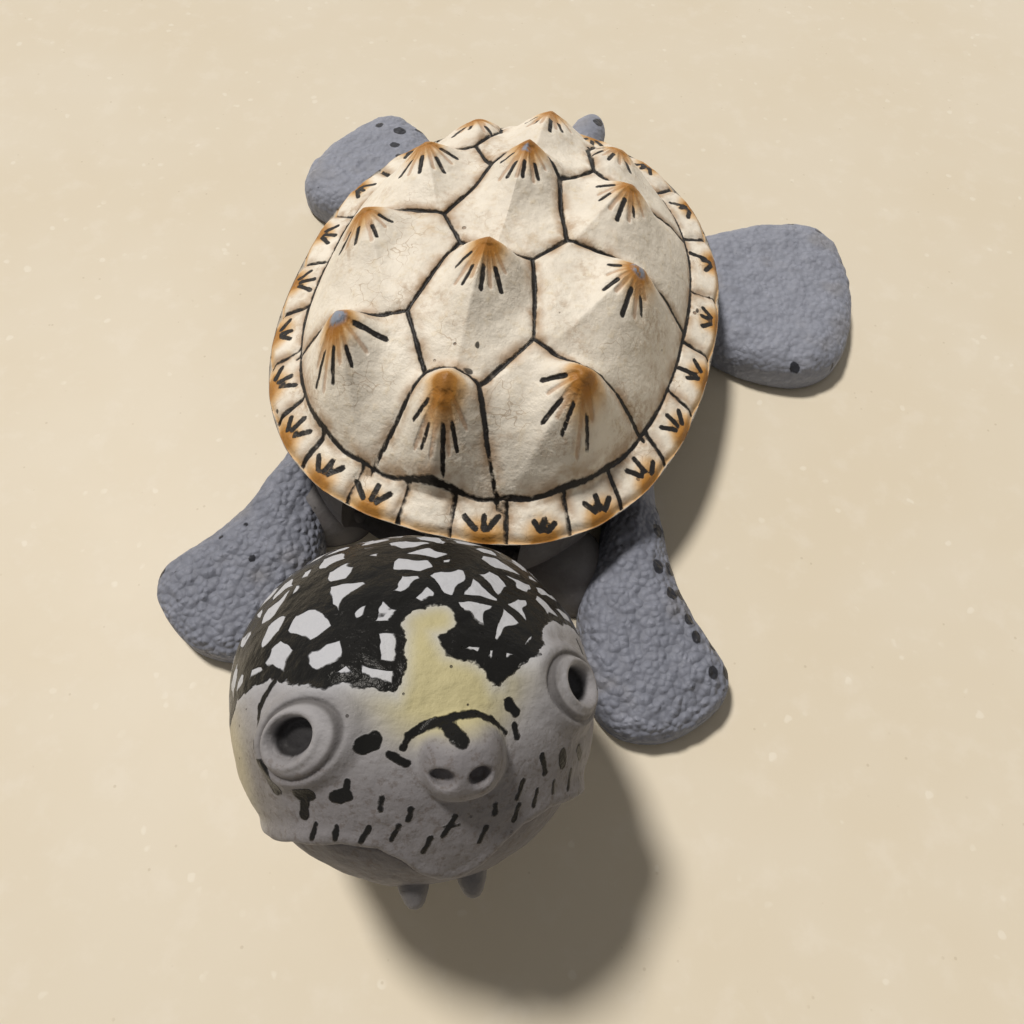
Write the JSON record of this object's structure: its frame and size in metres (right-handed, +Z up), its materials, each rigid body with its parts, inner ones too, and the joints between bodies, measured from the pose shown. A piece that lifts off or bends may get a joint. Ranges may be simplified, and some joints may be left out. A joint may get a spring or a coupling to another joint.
{
  "type": "turtle figurine with nodding head",
  "caption": "Cast and painted turtle figurine whose large head hangs inside the shell and nods and turns on a wire link.",
  "frame": {"origin": "centre of the flat underside that the figurine rests on, under the middle of the shell", "axes": "+Z up, the turtle faces -Y and its own left is +X"},
  "size_m": [0.1133, 0.1578, 0.048],
  "materials": {
    "shell_paint": "satin hand-painted cream over cast resin",
    "body_paint": "matt dark grey paint over cast resin",
    "head_paint": "satin pale grey-lavender paint over cast resin",
    "flipper_paint": "stippled blue-grey paint over cast resin",
    "wire": "plain drawn wire",
    "slug": "plain turned steel"
  },
  "bodies": {
    "base": {"carapace": "shell_paint", "body_casting": "body_paint", "front_left_flipper": "flipper_paint", "front_right_flipper": "flipper_paint", "rear_left_flipper": "flipper_paint", "rear_right_flipper": "flipper_paint", "tail": "flipper_paint", "roof_eye": "wire"},
    "hanger": {"hanger_link": "wire"},
    "head": {"head_casting": "head_paint", "neck_eye": "wire", "counterweight": "slug"}
  },
  "joints": [
    {"name": "head_turn", "type": "hinge", "parent": "base", "child": "hanger", "pos_m": [0, -0.027, 0.019], "axis": [0, 0, 1], "range_deg": [-15, 12]},
    {"name": "head_nod", "type": "hinge", "parent": "hanger", "child": "head", "pos_m": [0, -0.027, 0.019], "axis": [0.9848, 0.1736, 0], "range_deg": [-5, 4]}
  ]
}
